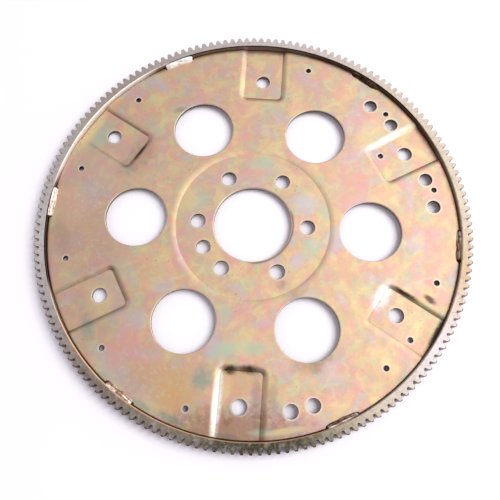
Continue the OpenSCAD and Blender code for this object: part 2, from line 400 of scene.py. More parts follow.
class WeldSettings(bpy.types.PropertyGroup):
    """Sizes of the weld beads"""
    length: length("Length", "Length of a bead", 28)
    leg_in: length("Leg on the plate", "How far a bead reaches in over the plate", 3.6)
    leg_up: length("Leg on the ring", "How far a bead climbs the ring's bore", 3.6)
    ripple: length("Ripple", "Spacing of the ripples along a bead", 3.2)
    roughness: length("Unevenness", "Height of the lumps on a bead", 0.35)
    # Streaks of scale, which also stand as painted highlights along a bead
    streaks: amount("Streaks", "How much the scale varies across a bead", 0.5)
    gap: length("Gap", "Clearance to the ring's bore", 0.02)


class FinishSettings(bpy.types.PropertyGroup):
    """Colours of the plating, of the marks on it, and of the painted shade and painted highlights laid on it
    """
    tan: colour("Tan", "Even tone of the plating where the film is thin", "#D4B596")
    gold: colour("Gold", "Gold of the film", "#E5BE92")
    peach: colour("Peach", "Peach of the film", "#E5BEA2")
    pink: colour("Pink", "Pink of the film", "#ECABA4")
    mauve: colour("Mauve", "Dusky mauve of the film", "#CFAFB0")
    straw: colour("Straw", "Pale yellow of the film", "#EBD6A1")
    green: colour("Green", "Sage green of the film", "#BACAB2")
    lavender: colour("Lavender", "Lavender grey of the film", "#C9BFCD")
    # Dark brown of stains and pits, also used as painted shade in the pads' corners, along the pilot hole's
    # edge and on some pad walls
    stain_and_shade_umber: colour("Umber", "Dark brown film in corners and stains", "#4A3428")
    smoke: colour("Smoke", "Grey brown film of the pale stains", "#9A8478")
    fawn: colour("Fawn", "Rosy brown of the film at the picture's left", "#CBA697")
    # Painted shade along the plate's lower edge in the picture
    lower_edge_shade: colour("Russet", "Rosy brown film at the picture's lower edge", "#8E6255")
    ochre: colour("Ochre", "Deep gold of the film", "#DDB07C")
    teal: colour("Teal", "Blue green film near the rim", "#97A79C")
    # On the sheet's rounded hole edges this pale zinc is edge wear and a painted highlight
    pale_zinc: colour("Pale zinc", "Bare zinc at hole edges", "#D6CFC8")
    # Bare zinc of the halos, also used as painted highlights on the ring's lit stretch of bore and on some
    # pad walls
    zinc_and_highlight_white: colour("White zinc", "Bright zinc at halos and scuffs", "#F6F1E9")
    zinc_cream: colour("Cream zinc", "Ring gear at the picture's right", "#D3C3AF")
    zinc_tan: colour("Tan zinc", "Ring gear at the picture's upper and lower right", "#D2C1B0")
    zinc_sand: colour("Sand zinc", "Ring gear below the picture's right", "#CFB291")
    zinc_rose: colour("Rose zinc", "Ring gear at the picture's top", "#D6CACB")
    zinc_brown: colour("Brown zinc", "Ring gear at the picture's upper left", "#B4A59C")
    zinc_grey: colour("Grey zinc", "Ring gear at the picture's left", "#E3D9DC")
    zinc_moss: colour("Moss zinc", "Ring gear at the picture's lower left", "#95867B")
    olive: colour("Olive", "Ring gear at the picture's bottom", "#4B4737")
    # Gold film on the bore's chamfer, laid also as a painted highlight along it
    gilt_and_highlight: colour("Gilt", "Gold film on the bore's chamfer", "#E6BA90")
    # Painted shade on the bore's chamfer and wall
    chamfer_shade: colour("Ink", "Dark line on the bore's chamfer", "#1D1B1F")
    # Painted shade on the walls of the plate's holes and rim and at the roots of the teeth
    hollow_shade: colour("Soot", "Dark brown scale at the roots of the teeth", "#21140F")
    # Brown scale of the cut flanks and of the ring's bore, where it also stands as painted shade
    scale: colour("Scale", "Brown scale on cut flanks and in bores", "#5A412B")
    weld_pale: colour("Weld pale", "Zinc on the weld beads", "#FBF5EC")
    weld_rose: colour("Weld rose", "Thin scale on the weld beads", "#B59787")
    weld_brown: colour("Weld brown", "Scale on the weld beads", "#7A5E48")


class StageSettings(bpy.types.PropertyGroup):
    """Camera, lamps and floor"""
    picture_turn: degrees("Picture turn", "Turn of the part in the picture", 26.1)
    camera_place: FloatVectorProperty(
        name="Camera place", description="Camera in the picture's frame, from the middle of the plate's face",
        default=(2.28 * MM, -147.73 * MM, 415.2 * MM), subtype="TRANSLATION", precision=5)
    camera_tilt: degrees("Tilt", "Camera tilt", -16.755)
    camera_pan: degrees("Pan", "Camera pan", -0.587)
    lens: amount("Lens", "Focal length on a 36 mm sensor", 38.285, "CAMERA")
    key_power: amount("Key light", "Power of the soft box", 124, "POWER")
    key_place: FloatVectorProperty(
        name="Key place", description="Soft box in the picture's frame", default=(2.2, 0.35, 3.0),
        subtype="TRANSLATION")
    key_size: length("Key size", "Width of the soft box", 2400)
    bright_side: degrees("Bright side", "Bright side of the room, as an angle in the picture", -18)
    window_side: degrees("Window side", "Side of the room that has a window", -33)
    window_rise: degrees("Window rise", "Height of the window above the floor, as an angle", 25)
    window_light: amount("Window light", "Light of the window in the metal", 1.8)
    dim_side: degrees("Dim side", "Side of the room that is dim low down", -105)
    dim_share: amount("Dim share", "Light of the dim side, as a share of the rest", 0.3)
    far_side: degrees("Far side", "Side of the room beyond the part", 105)
    far_share: amount("Far share", "Light low down on the far side, as a share of the rest", 0.45)
    near_side: degrees("Near side", "Side of the room at the picture's lower edge", -90)
    near_share: amount("Near share", "Light of the near side, as a share of the rest", 0.86)
    ambient: colour("Ambient", "Colour of the even light on the floor", "#F7EBFA")
    ambient_power: amount("Ambient power", "Strength of the even light", 0.54)
    floor: colour("Floor", "Colour of the floor", "#FBFBFD")
    floor_size: length("Floor size", "Width of the floor", 8000)


def add(tree, kind, settings=None, output=0):
    """Adds a node with its settings and links, and returns one of its outputs. A setting names a socket, an
    attribute or a colour ramp's stops from 0 to 1, and a socket takes a value or another node's output."""
    node = tree.nodes.new(kind)
    for key, value in (settings or {}).items():
        if key == "stops":
            stops = node.color_ramp.elements
            for position, tone in value:
                stop = stops[0] if position == 0 else stops[-1] if position == 1 else stops.new(position)
                stop.color = (*tone, 1)
        elif isinstance(key, str) and key not in node.inputs:
            setattr(node, key, value)
        elif isinstance(value, bpy.types.NodeSocket):
            tree.links.new(value, node.inputs[key])
        else:
            node.inputs[key].default_value = value
    return node.outputs[output] if node.outputs else None


def new_material(name):
    """An empty node material and its tree."""
    material = bpy.data.materials.new(name)
    material.use_nodes = True
    material.node_tree.nodes.clear()
    return material, material.node_tree


def sector(angles, low, high, fade):
    """1 between two angles and 0 beyond them, with a fade inside each end."""
    return np.clip((angles - low) / fade, 0, 1) * np.clip((high - angles) / fade, 0, 1)


def around(radius, angles):
    """Points at one radius on the angles, in degrees."""
    turns = np.radians(np.asarray(angles, float))
    return np.column_stack([radius * np.cos(turns), radius * np.sin(turns)])


def make_piece(name, points, faces, material, nodes, attributes=None, sharp=50):
    """A mesh object that stands for CAD nodes and rides on the part's one body."""
    mesh = bpy.data.meshes.new(name)
    mesh.from_pydata(points, [], faces)
    for key, values in (attributes or {}).items():
        mesh.attributes.new(key, "FLOAT", "POINT").data.foreach_set("value", np.asarray(values, np.float32))
    mesh.validate()
    mesh.shade_smooth()
    mesh.set_sharp_from_angle(angle=math.radians(sharp))
    mesh.materials.append(material)
    piece = bpy.data.objects.new(name, mesh)
    bpy.context.scene.collection.objects.link(piece)
    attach(piece, "root")
    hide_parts(*nodes)
    return piece


# Plate mesh

def bend_radius(width, depth):
    """Radius of a bend that is level at its outer edge and drops by depth over its width."""
    return (width * width + depth * depth) / (2 * depth)


def front_drop(distance, width, depth):
    """Drop of the front face at a distance from a sunk floor's edge."""
    radius = bend_radius(width, depth)
    reach = np.clip(width - distance, 0, width)
    return np.where(distance <= 0, depth, radius - np.sqrt(radius ** 2 - reach ** 2))


def back_drop(distance, width, depth, sheet):
    """Drop of the back face, one sheet behind the front."""
    radius = bend_radius(width, depth)
    inner = radius - sheet
    reach = np.clip(width - distance, 0, inner)
    arc = radius - np.sqrt(inner ** 2 - reach ** 2)
    return np.where(distance <= width - inner, depth + sheet, np.minimum(arc, depth + sheet))


def pad_distance(points, s):
    """Signed distance of each point from the nearest pad floor's outline."""
    nearest = np.full(len(points), 1.0)
    for angle in np.radians(PAD_ANGLES):
        u = points @ np.array([math.cos(angle), math.sin(angle)])
        v = np.abs(points @ np.array([-math.sin(angle), math.cos(angle)]))
        across = s.pad_inner + s.pad_corner - u
        beside = v - (s.pad_width / 2 - s.pad_corner)
        outside = np.hypot(np.maximum(across, 0), np.maximum(beside, 0))
        nearest = np.minimum(nearest, outside + np.minimum(np.maximum(across, beside), 0) - s.pad_corner)
    return nearest


def pad_outline(s, offset, step):
    """Points along a pad's outline at an offset from its floor, from the rim inwards and back out."""
    half = s.pad_width / 2 + offset
    corner = max(s.pad_corner + offset, 0)
    start = s.pad_inner - offset + corner
    side = np.arange(s.rim_radius, start, -step)
    turn = np.linspace(0, math.pi / 2, max(2, int(corner * 1.6 / step) + 4))[1:-1]
    end = np.linspace(half - corner, 0, max(3, int((half - corner) / step)))
    right = np.vstack([
        np.column_stack([side, np.full(len(side), half)]),
        [[start, half]],
        np.column_stack([start - corner * np.sin(turn), half - corner + corner * np.cos(turn)]),
        np.column_stack([np.full(len(end), s.pad_inner - offset), end]),
    ])
    return np.vstack([right, right[-2::-1] * [1, -1]])


def plate_holes(s):
    """Every hole as centre, radius, front rounding, mesh points and strength of the bare zinc round it."""
    crank = MOUNTS["crank_bolts"]["dims"]
    wide = MOUNTS["converter_bolts_wide"]["dims"]
    narrow = MOUNTS["converter_bolts_narrow"]["dims"]
    dowel = MOUNTS["dowel_hole"]
    groups = [
        (0, [0], PILOT_RADIUS, s.pilot_lip, 192, 0),
        (s.window_circle, WINDOW_ANGLES, s.window_radius, s.window_lip, 144, 0),
        (crank["pcd_mm"] / 2 * MM, WINDOW_ANGLES, crank["hole_r_mm"] * MM, s.hole_lip, 64, 0.5),
        (-dowel["pos_m"][0], [DOWEL_ANGLE], dowel["dims"]["r_mm"] * MM, s.hole_lip, 64, 0.5),
        (wide["pcd_mm"] / 2 * MM, PAD_ANGLES[0::2], wide["hole_r_mm"] * MM, s.hole_lip, 64, 0.6),
        (narrow["pcd_mm"] / 2 * MM, PAD_ANGLES[1::2], narrow["hole_r_mm"] * MM, s.hole_lip, 64, 0.6),
        (s.pin_circle, PIN_ANGLES + [RIM_PIN_ANGLE], s.pin_radius, s.hole_lip, 32, 0.7),
        (PAD_PIN[0] * MM, [PAD_PIN[1]], s.pin_radius, s.hole_lip, 32, 0.7),
        (s.balance_circle, BALANCE_ANGLES, s.balance_radius, s.hole_lip, 56, 1),
    ]
    return [
        (centre, radius, lip, count, halo)
        for circle, angles, radius, lip, count, halo in groups
        for centre in around(circle, angles)
    ]


def ring_points(centre, radius, count):
    """Evenly spaced points of a circle."""
    return around(radius, np.arange(count) * 360 / count) + centre


def plate_points(s, holes):
    """Points of the sheet in plan and the edges that its mesh has to keep.
    Returns points, edges and one list of point numbers for each loop: the rim first, then the holes."""
    sets, edges, loops, count = [], [], [], 0

    def keep(points, closed=None):
        """Adds points, and edges along them where they make a closed or an open line."""
        nonlocal count
        numbers = np.arange(count, count + len(points))
        sets.append(points)
        count += len(points)
        if closed is not None:
            pairs = np.column_stack([numbers, np.roll(numbers, -1)])
            edges.extend(pairs.tolist() if closed else pairs[:-1].tolist())
        return numbers

    def clear(points, margin, skip=None):
        """Points that lie on the sheet, away from the holes and the rim."""
        good = np.hypot(*points.T) < s.rim_radius - s.die_roll - margin
        for number, (centre, radius, lip, _, _) in enumerate(holes):
            if number != skip:
                good &= np.hypot(*(points - centre).T) > radius + lip + margin
        return points[good]

    rim = s.rim_radius - s.die_roll
    loops.append(keep(ring_points(0, rim, RIM_POINTS), True))
    for inset in RIM_ROWS:
        keep(clear(ring_points(0, rim - inset * MM, RIM_POINTS), 0))
    for centre, radius, lip, segments, _ in holes:
        loops.append(keep(ring_points(centre, radius + lip, segments), True))
    for number, (centre, radius, lip, segments, _) in enumerate(holes):
        for out in HOLE_ROWS:
            keep(clear(ring_points(centre, radius + lip + out * MM, segments), CLEAR_HOLE * MM, number))
    keep(ring_points(0, s.hub_radius, HUB_POINTS), True)
    for offset in HUB_ROWS:
        keep(clear(ring_points(0, s.hub_radius + offset * MM, HUB_POINTS), CLEAR_HUB * MM))
    for angle in np.radians(PAD_ANGLES):
        turn = np.array([[math.cos(angle), math.sin(angle)], [-math.sin(angle), math.cos(angle)]])
        keep(clear(pad_outline(s, 0, PAD_STEP * MM) @ turn, CLEAR_PAD * MM), False)
        for offset in PAD_ROWS:
            keep(clear(pad_outline(s, offset * MM, PAD_STEP * MM) @ turn, CLEAR_PAD_ROW * MM))
    tree = kdtree.KDTree(count)
    for number, point in enumerate(np.vstack(sets)):
        tree.insert((*point, 0), number)
    tree.balance()
    rows = int(2 * rim / s.mesh_step / ROW_SHARE) + 2
    grid = np.array([
        ((column + row % 2 / 2) * s.mesh_step - rim, row * s.mesh_step * ROW_SHARE - rim)
        for row in range(rows) for column in range(rows)
    ])
    grid = clear(grid, CLEAR_SHEET * MM)
    keep(np.array([point for point in grid if tree.find((*point, 0))[2] > ROOM_SHARE * s.mesh_step]))
    return np.vstack(sets), edges, loops


def plate_mesh(s):
    """Points, faces and marks of the sheet: a front, a back, and walls at the rim and in each hole."""
    holes = plate_holes(s)
    plan, edges, loops = plate_points(s, holes)
    flat, _, triangles, origin, _, _ = delaunay_2d_cdt([Vector(p) for p in plan], edges, [], 0, 1e-9)
    place = {source: number for number, sources in enumerate(origin) for source in sources}
    plan = np.array([(p.x, p.y) for p in flat])
    triangles = np.array(triangles)
    middle = plan[triangles].mean(axis=1)
    solid = np.hypot(*middle.T) < s.rim_radius - s.die_roll
    for centre, radius, lip, segments, _ in holes:
        solid &= np.hypot(*(middle - centre).T) > (radius + lip) * math.cos(math.pi / segments)
    triangles = triangles[solid]

    pad, hub = pad_distance(plan, s), np.hypot(*plan.T) - s.hub_radius
    front = s.front_z - np.maximum(
        front_drop(pad, s.pad_bend, s.pad_depth), front_drop(hub, s.hub_bend, s.hub_depth))
    back = s.front_z - np.maximum(
        back_drop(pad, s.pad_bend, s.pad_depth, s.sheet), back_drop(hub, s.hub_bend, s.hub_depth, s.sheet))
    total = len(plan)
    points = [np.column_stack([plan, front]), np.column_stack([plan, back])]
    faces = triangles.tolist() + (triangles[:, ::-1] + total).tolist()

    bearing = np.degrees(np.arctan2(plan[:, 1], plan[:, 0]))
    nearest_pad = np.round(bearing / SECTOR).astype(int) % len(PAD_ANGLES)
    # Painted shade: a dark line in each pad's corner, and one along part of the pilot hole's edge
    shade_line = np.array(PAD_SHADE_LINE)[nearest_pad] * np.exp(-(pad / (CREASE_WIDTH * MM)) ** 2)
    reach = np.hypot(*plan.T) - PILOT_RADIUS - s.pilot_lip
    line = PILOT_LINE_STRENGTH * sector(bearing, *PILOT_SHADE_LINE, PILOT_LINE_FADE)
    shade_line = np.maximum(shade_line, line * np.exp(-(reach / (PILOT_LINE_WIDTH * MM)) ** 2))
    halo = np.zeros(total)
    for centre, radius, lip, _, strength in holes:
        reach = np.hypot(*(plan - centre).T) - radius - lip
        halo = np.maximum(halo, strength * np.clip(1 - reach / (HALO_WIDTH * MM), 0, 1))
    plain = np.zeros(total)
    marks = {"shade_line": [shade_line, plain], "halo": [halo, plain], "lip": [plain, plain], "bore": [plain, plain]}

    walls = [((0.0, 0.0), s.rim_radius, s.die_roll, 1)] + [(c, r, lip, -1) for c, r, lip, _, _ in holes]
    base = 2 * total
    for loop, (centre, radius, lip, way) in zip(loops, walls):
        ring = np.array([place[number] for number in loop])
        arrow = plan[ring] - centre
        arrow /= np.linalg.norm(arrow, axis=1)[:, None]
        top, bottom = front[ring], back[ring]
        rows = [(radius - way * lip * (1 - math.sin(a)), top - lip * (1 - math.cos(a)))
                for a in np.radians(LIP_ROWS)]
        rows += [(radius, bottom + s.back_lip), (radius - way * s.back_lip, bottom)]
        previous, n = ring, len(ring)
        for row_radius, height in rows:
            points.append(np.column_stack([centre + arrow * row_radius, height]))
            current = np.arange(base, base + n)
            base += n
            faces += strip(previous, current, way)
            previous = current
        faces += strip(previous, ring + total, way)
        # Lower wall rows take the bore's painted shade, the rounded rows the lip's pale coat of edge wear and
        # painted highlight
        deep = np.repeat(np.array(BORE_ROWS, float), n)
        for key, values in (("shade_line", deep * 0), ("halo", deep * 0), ("lip", 1 - deep), ("bore", deep)):
            marks[key].append(values)
    return np.vstack(points), faces, {key: np.concatenate(parts) for key, parts in marks.items()}


def strip(upper, lower, way):
    """Quads between two closed rows of points, facing out for way 1 and in for way -1."""
    after_upper, after_lower = np.roll(upper, -1), np.roll(lower, -1)
    quads = np.column_stack([upper, lower, after_lower, after_upper])
    return (quads if way > 0 else quads[:, ::-1]).tolist()


# Ring gear mesh

def tooth_profile(s):
    """One tooth and the gap after it, as radius and angle from the tooth's middle, the way it turns."""
    base = s.pitch_radius * math.cos(s.pressure_angle)

    def involute(radius):
        """Involute of the pressure angle at a radius."""
        angle = math.acos(min(1, base / radius))
        return math.tan(angle) - angle

    thickness = math.pi / 2 / s.teeth - s.backlash / 2 / s.pitch_radius

    def half_angle(radius):
        """Half of a tooth's width at a radius, as an angle."""
        return thickness + involute(s.pitch_radius) - involute(radius)

    tip, root = s.tip_radius, s.root_radius
    crown, fillet, knee = 0.3 * MM, 0.5 * MM, 0.3
    pitch = 2 * math.pi / s.teeth
    up = [(root, pitch / 2), (root, half_angle(root) + fillet / root)]
    up += [(root + fillet * knee, half_angle(root) + fillet * knee / root)]
    up += [(r, half_angle(r)) for r in np.linspace(root + fillet, tip - crown, 4)]
    up += [(tip - crown * knee, half_angle(tip) - crown * knee / tip), (tip, half_angle(tip) - crown / tip)]
    left = [(r, -a) for r, a in up]
    right = [(r, a) for r, a in up[::-1]]
    return left[1:] + [(tip, 0.0)] + right


def ring_mesh(s, turn):
    """Points, faces and marks of the ring, as closed rows from the bore out round the teeth and back in."""
    profile = tooth_profile(s)
    turns = s.tooth_first + 2 * math.pi / s.teeth * np.arange(s.teeth)
    radius = np.tile([r for r, _ in profile], s.teeth)
    angle = (turns[:, None] + np.array([a for _, a in profile])).ravel()
    outline = np.column_stack([radius * np.cos(angle), radius * np.sin(angle)])
    tangent = np.roll(outline, -1, axis=0) - np.roll(outline, 1, axis=0)
    normal = np.column_stack([tangent[:, 1], -tangent[:, 0]]) / np.linalg.norm(tangent, axis=1)[:, None]
    spoke = np.column_stack([np.cos(angle), np.sin(angle)])

    def circle_row(r, z):
        """A round row at one height, with a point for each point of the teeth."""
        return np.column_stack([spoke * r, np.full(len(spoke), z)])

    def tooth_row(z, limit, inset):
        """A row along the teeth at one height, set in from them and held within a radius."""
        flat = outline - normal * inset
        reach = np.hypot(*flat.T)
        flat = flat * np.minimum(1, limit / reach)[:, None]
        return np.column_stack([flat, np.full(len(flat), z)])

    top, chamfer, edge = s.height, s.tooth_chamfer, s.edge_break
    bore, tip, bevel = s.bore_radius, s.tip_radius, s.bore_chamfer
    flat = s.root_radius - 0.4 * MM
    knee = 0.6 * edge
    rows = [
        circle_row(bore, edge), circle_row(bore + edge, 0), circle_row(flat, 0),
        tooth_row(0, tip - chamfer - edge, edge), tooth_row(edge, tip - chamfer + edge, 0),
        tooth_row(chamfer - edge, tip - edge, 0), tooth_row(chamfer + edge, tip, 0),
        tooth_row(top - chamfer - edge, tip, 0), tooth_row(top - chamfer + edge, tip - edge, 0),
        tooth_row(top - edge, tip - chamfer + edge, 0), tooth_row(top, tip - chamfer - edge, edge),
        circle_row(flat, top),
        circle_row(bore + bevel + edge, top), circle_row(bore + bevel - edge, top - knee),
        circle_row(bore + knee, top - bevel + edge), circle_row(bore, top - bevel - edge),
    ]
    n = len(outline)
    faces = []
    for number in range(len(rows)):
        upper = np.arange(n) + number * n
        lower = np.arange(n) + (number + 1) % len(rows) * n
        faces += strip(lower, upper, 1)
    picture = np.degrees(angle + turn) % 360
    # Sectors by picture angle: gold film with a painted highlight, painted shade, a painted shadow line, a
    # painted highlight on the lit stretch, and more painted shade
    gilt_and_highlight, shade, line, bright, shadowed = (
        sector(picture, *ends, BORE_FADE)
        for ends in (BORE_GILT_HIGHLIGHT, BORE_SHADE, BORE_SHADOW_LINE, BORE_BRIGHT, BORE_SHADOWED))
    plain = np.zeros(n)
    # Painted shade at the roots of the teeth
    root = np.clip((s.root_radius + ROOT_SHADE_TOP * MM - radius) / (ROOT_SHADE_FADE * MM), 0, 1)
    # Brown scale and painted shade in the bore away from its lit stretch, darker on its shadowed stretch
    dull = BORE_SCALE_AND_SHADE * (1 - bright) + BORE_SHADOW_EXTRA * shadowed
    marks = {
        "cut": [plain] * 4 + [plain + 1] * 6 + [plain] * 6,
        "root": [plain] * 4 + [root] * 6 + [plain] * 6,
        "bore": [dull] + [plain] * 14 + [dull],
        "shade": [shade] + [plain] * 12 + [shade + line, shade + line, shade],
        "gilt_and_highlight": [plain] * 13 + [gilt_and_highlight, gilt_and_highlight, plain],
        "bright": [plain] * 13 + [bright, bright, bright],
    }
    return np.vstack(rows), faces, {key: np.concatenate(values) for key, values in marks.items()}


# Weld bead mesh

def weld_mesh(s, ring, front_z, middle, seed):
    """Points, faces and scale marks of one bead, whose streaks also stand as painted highlights: a lumpy
    fillet from the plate's face to the ring's bore.
    """
    along, across = 110, 18
    thin_end, end_start, end_fade, end_scale = 0.02, 0.86, 0.1, 1.1
    swell_wave, ripple_wave, lump_wave, streak_wave = 5 * MM, 4 * MM, 4.2 * MM, 11 * MM
    swell_share, wander, ridge_height, bulge_share = 0.2, 0.35, 0.06 * MM, 0.16
    lumps_across, streaks_across = 2.6, 0.42
    push_in, push_up = 0.66, 0.75
    wall = ring.bore_radius - s.gap
    chamfer_foot = ring.height - ring.bore_chamfer
    half = s.length / 2
    rows, marks = [], []
    for i in range(along + 1):
        place = -half + s.length * i / along
        end = max(thin_end, 1 - (place / half) ** 2)
        swell = end ** 0.2 * (1 + swell_share * noise.noise(Vector((place / swell_wave, seed * 3.1, 0))))
        phase = place / s.ripple + wander * noise.noise(Vector((place / ripple_wave, seed * 7.7, 2)))
        ridge = ridge_height * (1 - abs(math.sin(math.pi * phase)) ** 0.6)
        leg_in, leg_up = s.leg_in * swell, s.leg_up * min(1, swell)
        angle = middle + place / ring.bore_radius
        row = []
        for j in range(across + 1):
            t = j / across
            bulge = math.sin(math.pi * t) * (bulge_share * (leg_in + leg_up) / 2)
            lump = noise.noise(Vector((place / lump_wave, t * lumps_across, seed * 5.3))) * s.roughness
            push = (bulge + (lump + ridge) * math.sin(math.pi * t) ** 0.5) * end ** 0.3
            radius = wall - leg_in * (1 - t) - push * push_in
            height = front_z + leg_up * t + push * push_up
            radius = min(radius + max(0.0, height - chamfer_foot) * t, wall + ring.bore_chamfer)
            row.append((radius * math.cos(angle), radius * math.sin(angle), max(height, front_z)))
        corner = (wall * math.cos(angle), wall * math.sin(angle), front_z)
        rows.append(row + [corner])
        end_mark = min(1, max(0, abs(place) / half - end_start) / end_fade)
        # Streaks across the bead vary its scale and also stand as painted highlights
        marks += [
            end_scale * end_mark
            + s.streaks * noise.noise(Vector((place / streak_wave, j * streaks_across, seed * 9.1)))
            for j in range(len(rows[-1]))
        ]
    n = across + 2
    points = [point for row in rows for point in row]
    faces = [
        (i * n + j, i * n + (j + 1) % n, (i + 1) * n + (j + 1) % n, (i + 1) * n + j)
        for i in range(along) for j in range(n)
    ]
    faces += [tuple(range(n))[::-1], tuple(along * n + j for j in range(n))]
    return points, faces, marks


# Finishes

def clouds(tree, place, size, shift, detail, roughness, distortion):
    """Cloudy values of about 0.3 to 0.7, with clouds of the given size in mm."""
    moved = add(tree, "ShaderNodeMapping", {
        "Vector": place, "Location": (shift * MM, shift * CLOUD_SLANT * MM, 0)})
    return add(tree, "ShaderNodeTexNoise", {
        "Vector": moved, "Scale": 1 / (size * MM), "Detail": detail, "Roughness": roughness,
        "Distortion": distortion})


def oval(tree, place, x, y, long, wide, angle):
    """A soft oval of 1 in its middle and 0 at its edge, with its place and half sizes in mm."""
    local = add(tree, "ShaderNodeMapping", {
        "vector_type": "TEXTURE", "Vector": place, "Location": (x * MM, y * MM, 0),
        "Rotation": (0, 0, math.radians(angle)), "Scale": (long * MM, wide * MM, OVAL_DEPTH)})
    return add(tree, "ShaderNodeTexGradient", {"gradient_type": "SPHERICAL", "Vector": local}, "Fac")


def coat(tree, ground, tone, pattern, edge=(0, 1), strength=1, fade="SMOOTHSTEP"):
    """A tone laid over the ground where a pattern goes from one value to another."""
    cover = add(tree, "ShaderNodeMapRange", {
        "interpolation_type": fade, "Value": pattern, "From Min": edge[0], "From Max": edge[1],
        "To Min": 0, "To Max": strength})
    return add(tree, "ShaderNodeMix", {"data_type": "RGBA", 0: cover, 6: ground, 7: (*tone, 1)}, 2)


def cloud_coats(tree, place, ground, f, film):
    """The film's coats, each laid where its clouds are thick or thin."""
    for *pattern, coats in film:
        cloud = clouds(tree, place, *pattern)
        for low, high, strength, tone in coats:
            ground = coat(tree, ground, getattr(f, tone), cloud, (low, high), strength)
    return ground


def point_coats(tree, ground, f, coats):
    """Coats laid where the mesh's points call for them."""
    for name, tone, strength in coats:
        value = add(tree, "ShaderNodeAttribute", {"attribute_name": name}, "Fac")
        ground = coat(tree, ground, getattr(f, tone), value, strength=strength, fade="LINEAR")
    return ground


def plated_steel(name, f):
    """Yellow zinc chromate on pressed steel sheet: a satin metal film that drifts through gold, pink, sage
    and straw, with brown stains, painted shade in its corners, on some pad walls, along its lower edge and on
    the walls of its holes, painted highlights on some pad walls and on the holes' worn rounded edges, frosted
    places and bare zinc round its holes."""
    material, tree = new_material(name)
    place = add(tree, "ShaderNodeTexCoord", output="Object")
    tint = cloud_coats(tree, place, (*f.tan, 1), f, FILM)
    pitted = add(tree, "ShaderNodeMapRange", {
        "interpolation_type": "SMOOTHSTEP", "Value": clouds(tree, place, *PIT_PATCHES),
        "From Min": PIT_PATCH_EDGE[0], "From Max": PIT_PATCH_EDGE[1], "To Max": PIT_STRENGTH})
    tint = coat(tree, tint, f.stain_and_shade_umber, clouds(tree, place, *PITS), PIT_EDGE, pitted)
    rim = clouds(tree, place, *STAIN_RIM)
    for *shape, strength, tone in STAINS:
        ragged = add(tree, "ShaderNodeMath", {"operation": "MULTIPLY", 0: oval(tree, place, *shape), 1: rim})
        tint = coat(tree, tint, getattr(f, tone), ragged, STAIN_EDGE, strength)
    grain = clouds(tree, place, *FROST_GRAIN)
    for *shape, strength in FROST:
        frosted = add(tree, "ShaderNodeMapRange", {
            "interpolation_type": "SMOOTHSTEP", "Value": oval(tree, place, *shape),
            "From Max": FROST_RISE, "To Max": strength})
        tint = coat(tree, tint, f.pale_zinc, grain, FROST_EDGE, frosted)
    tint = point_coats(tree, tint, f, SHEET_EDGES)
    satin = add(tree, "ShaderNodeMapRange", {
        "interpolation_type": "SMOOTHSTEP", "Value": clouds(tree, place, *SATIN),
        "From Min": SATIN_EDGE[0], "From Max": SATIN_EDGE[1],
        "To Min": SATIN_ROUGHNESS[0], "To Max": SATIN_ROUGHNESS[1]})
    shader = add(tree, "ShaderNodeBsdfPrincipled", {"Base Color": tint, "Metallic": 1, "Roughness": satin})
    add(tree, "ShaderNodeOutputMaterial", {"Surface": shader})
    return material


def cut_zinc(name, f, turn):
    """Zinc on a turned ring with cut teeth: a sandy grey that changes round the ring, with brown scale on the
    flanks, painted shade at their roots and in much of the bore and its chamfer, and a painted highlight on
    one bright stretch of bore and, with gold film, along part of the chamfer."""
    material, tree = new_material(name)
    place = add(tree, "ShaderNodeTexCoord", output="Object")
    turned = add(tree, "ShaderNodeMapping", {"Vector": place, "Rotation": (0, 0, turn + math.pi)})
    bearing = add(tree, "ShaderNodeTexGradient", {"gradient_type": "RADIAL", "Vector": turned}, "Fac")
    tint = add(tree, "ShaderNodeValToRGB", {
        0: bearing, "stops": [(angle / 360, getattr(f, tone)) for angle, tone in RING_TONES]})
    tint = cloud_coats(tree, place, tint, f, RING_FILM)
    tint = point_coats(tree, tint, f, RING_EDGES)
    # Painted highlight: the lit stretch of bore is also made less metallic so that it shows pale
    bright = add(tree, "ShaderNodeAttribute", {"attribute_name": "bright"}, "Fac")
    metal = add(tree, "ShaderNodeMapRange", {
        "interpolation_type": "SMOOTHSTEP", "Value": bright, "To Min": 1, "To Max": 0.3})
    shader = add(tree, "ShaderNodeBsdfPrincipled", {"Base Color": tint, "Metallic": metal, "Roughness": 0.42})
    add(tree, "ShaderNodeOutputMaterial", {"Surface": shader})
    return material


def weld_metal(name, f):
    """Plated weld metal: pale where the zinc took, with brown scale in patches, in streaks that also stand as
    painted highlights, and on some beads all over.
    """
    material, tree = new_material(name)
    place = add(tree, "ShaderNodeTexCoord", output="Object")
    shift = add(tree, "ShaderNodeMath", {
        "operation": "MULTIPLY_ADD", 0: clouds(tree, place, *BEAD_CLOUDS),
        1: BEAD_SPREAD, 2: -BEAD_SPREAD / 2})
    kept = add(tree, "ShaderNodeAttribute", {"attribute_name": "scale"}, "Fac")
    scale = add(tree, "ShaderNodeMath", {"operation": "ADD", 0: kept, 1: shift})
    tint = add(tree, "ShaderNodeValToRGB", {0: scale, "stops": [
        (0, f.weld_pale), (0.25, f.weld_pale), (0.5, f.weld_rose), (0.75, f.weld_brown), (1, f.stain_and_shade_umber)]})
    metal = add(tree, "ShaderNodeMapRange", {
        "interpolation_type": "SMOOTHSTEP", "Value": scale, "From Min": 0.1, "From Max": 0.5,
        "To Min": 0.35, "To Max": 1})
    shader = add(tree, "ShaderNodeBsdfPrincipled", {"Base Color": tint, "Metallic": metal, "Roughness": 0.3})
    add(tree, "ShaderNodeOutputMaterial", {"Surface": shader})
    return material


def paper_floor(name, s):
    """Matt white paper: evenly pale, so that it keeps the part's soft shadow."""
    material, tree = new_material(name)
    matt = add(tree, "ShaderNodeBsdfDiffuse", {"Color": (*s.floor, 1)})
    add(tree, "ShaderNodeOutputMaterial", {"Surface": matt})
    return material


